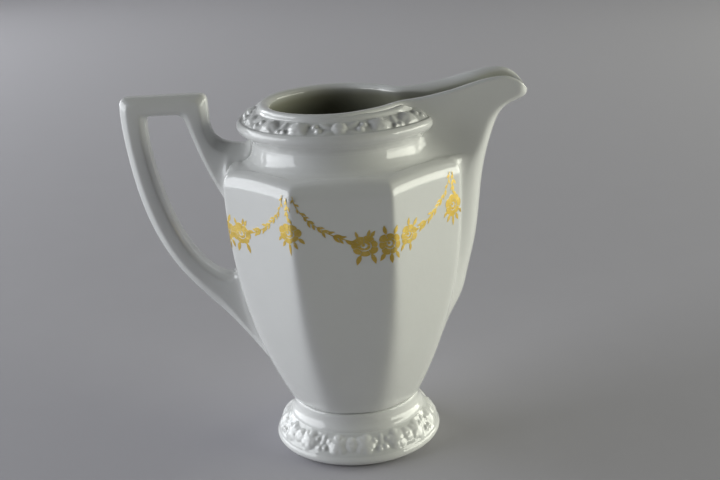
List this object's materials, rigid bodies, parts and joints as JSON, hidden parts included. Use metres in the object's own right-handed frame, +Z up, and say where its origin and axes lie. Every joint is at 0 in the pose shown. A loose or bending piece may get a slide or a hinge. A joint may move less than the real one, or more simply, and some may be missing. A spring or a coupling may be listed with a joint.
{
  "type": "porcelain cream jug",
  "caption": "Footed octagonal cream jug in white glazed porcelain, with a high beak spout, an angular loop handle, relief friezes and a gilt garland.",
  "frame": {"origin": "bottom centre of the jug's bounding box, in the plane that the foot rests on; the vessel's own axis is 5.02 mm behind it along X", "axes": "+X towards the spout, -X towards the handle, +Z up"},
  "size_m": [0.1366, 0.08, 0.13],
  "materials": {
    "glaze": "clear glossy glaze over white porcelain",
    "gilding": "burnished gilt, slightly worn"
  },
  "bodies": {
    "root": {"vessel": "glaze", "spout": "glaze", "handle": "glaze", "foot": "glaze", "foot_frieze": "glaze", "rim_frieze": "glaze", "gilt_swag_left": "gilding", "gilt_swag_right": "gilding", "gilt_handle_swag_left": "gilding", "gilt_handle_swag_right": "gilding", "gilt_drop_spout_left": "gilding", "gilt_drop_spout_right": "gilding", "gilt_drop_side_left": "gilding", "gilt_drop_side_right": "gilding"}
  },
  "joints": []
}
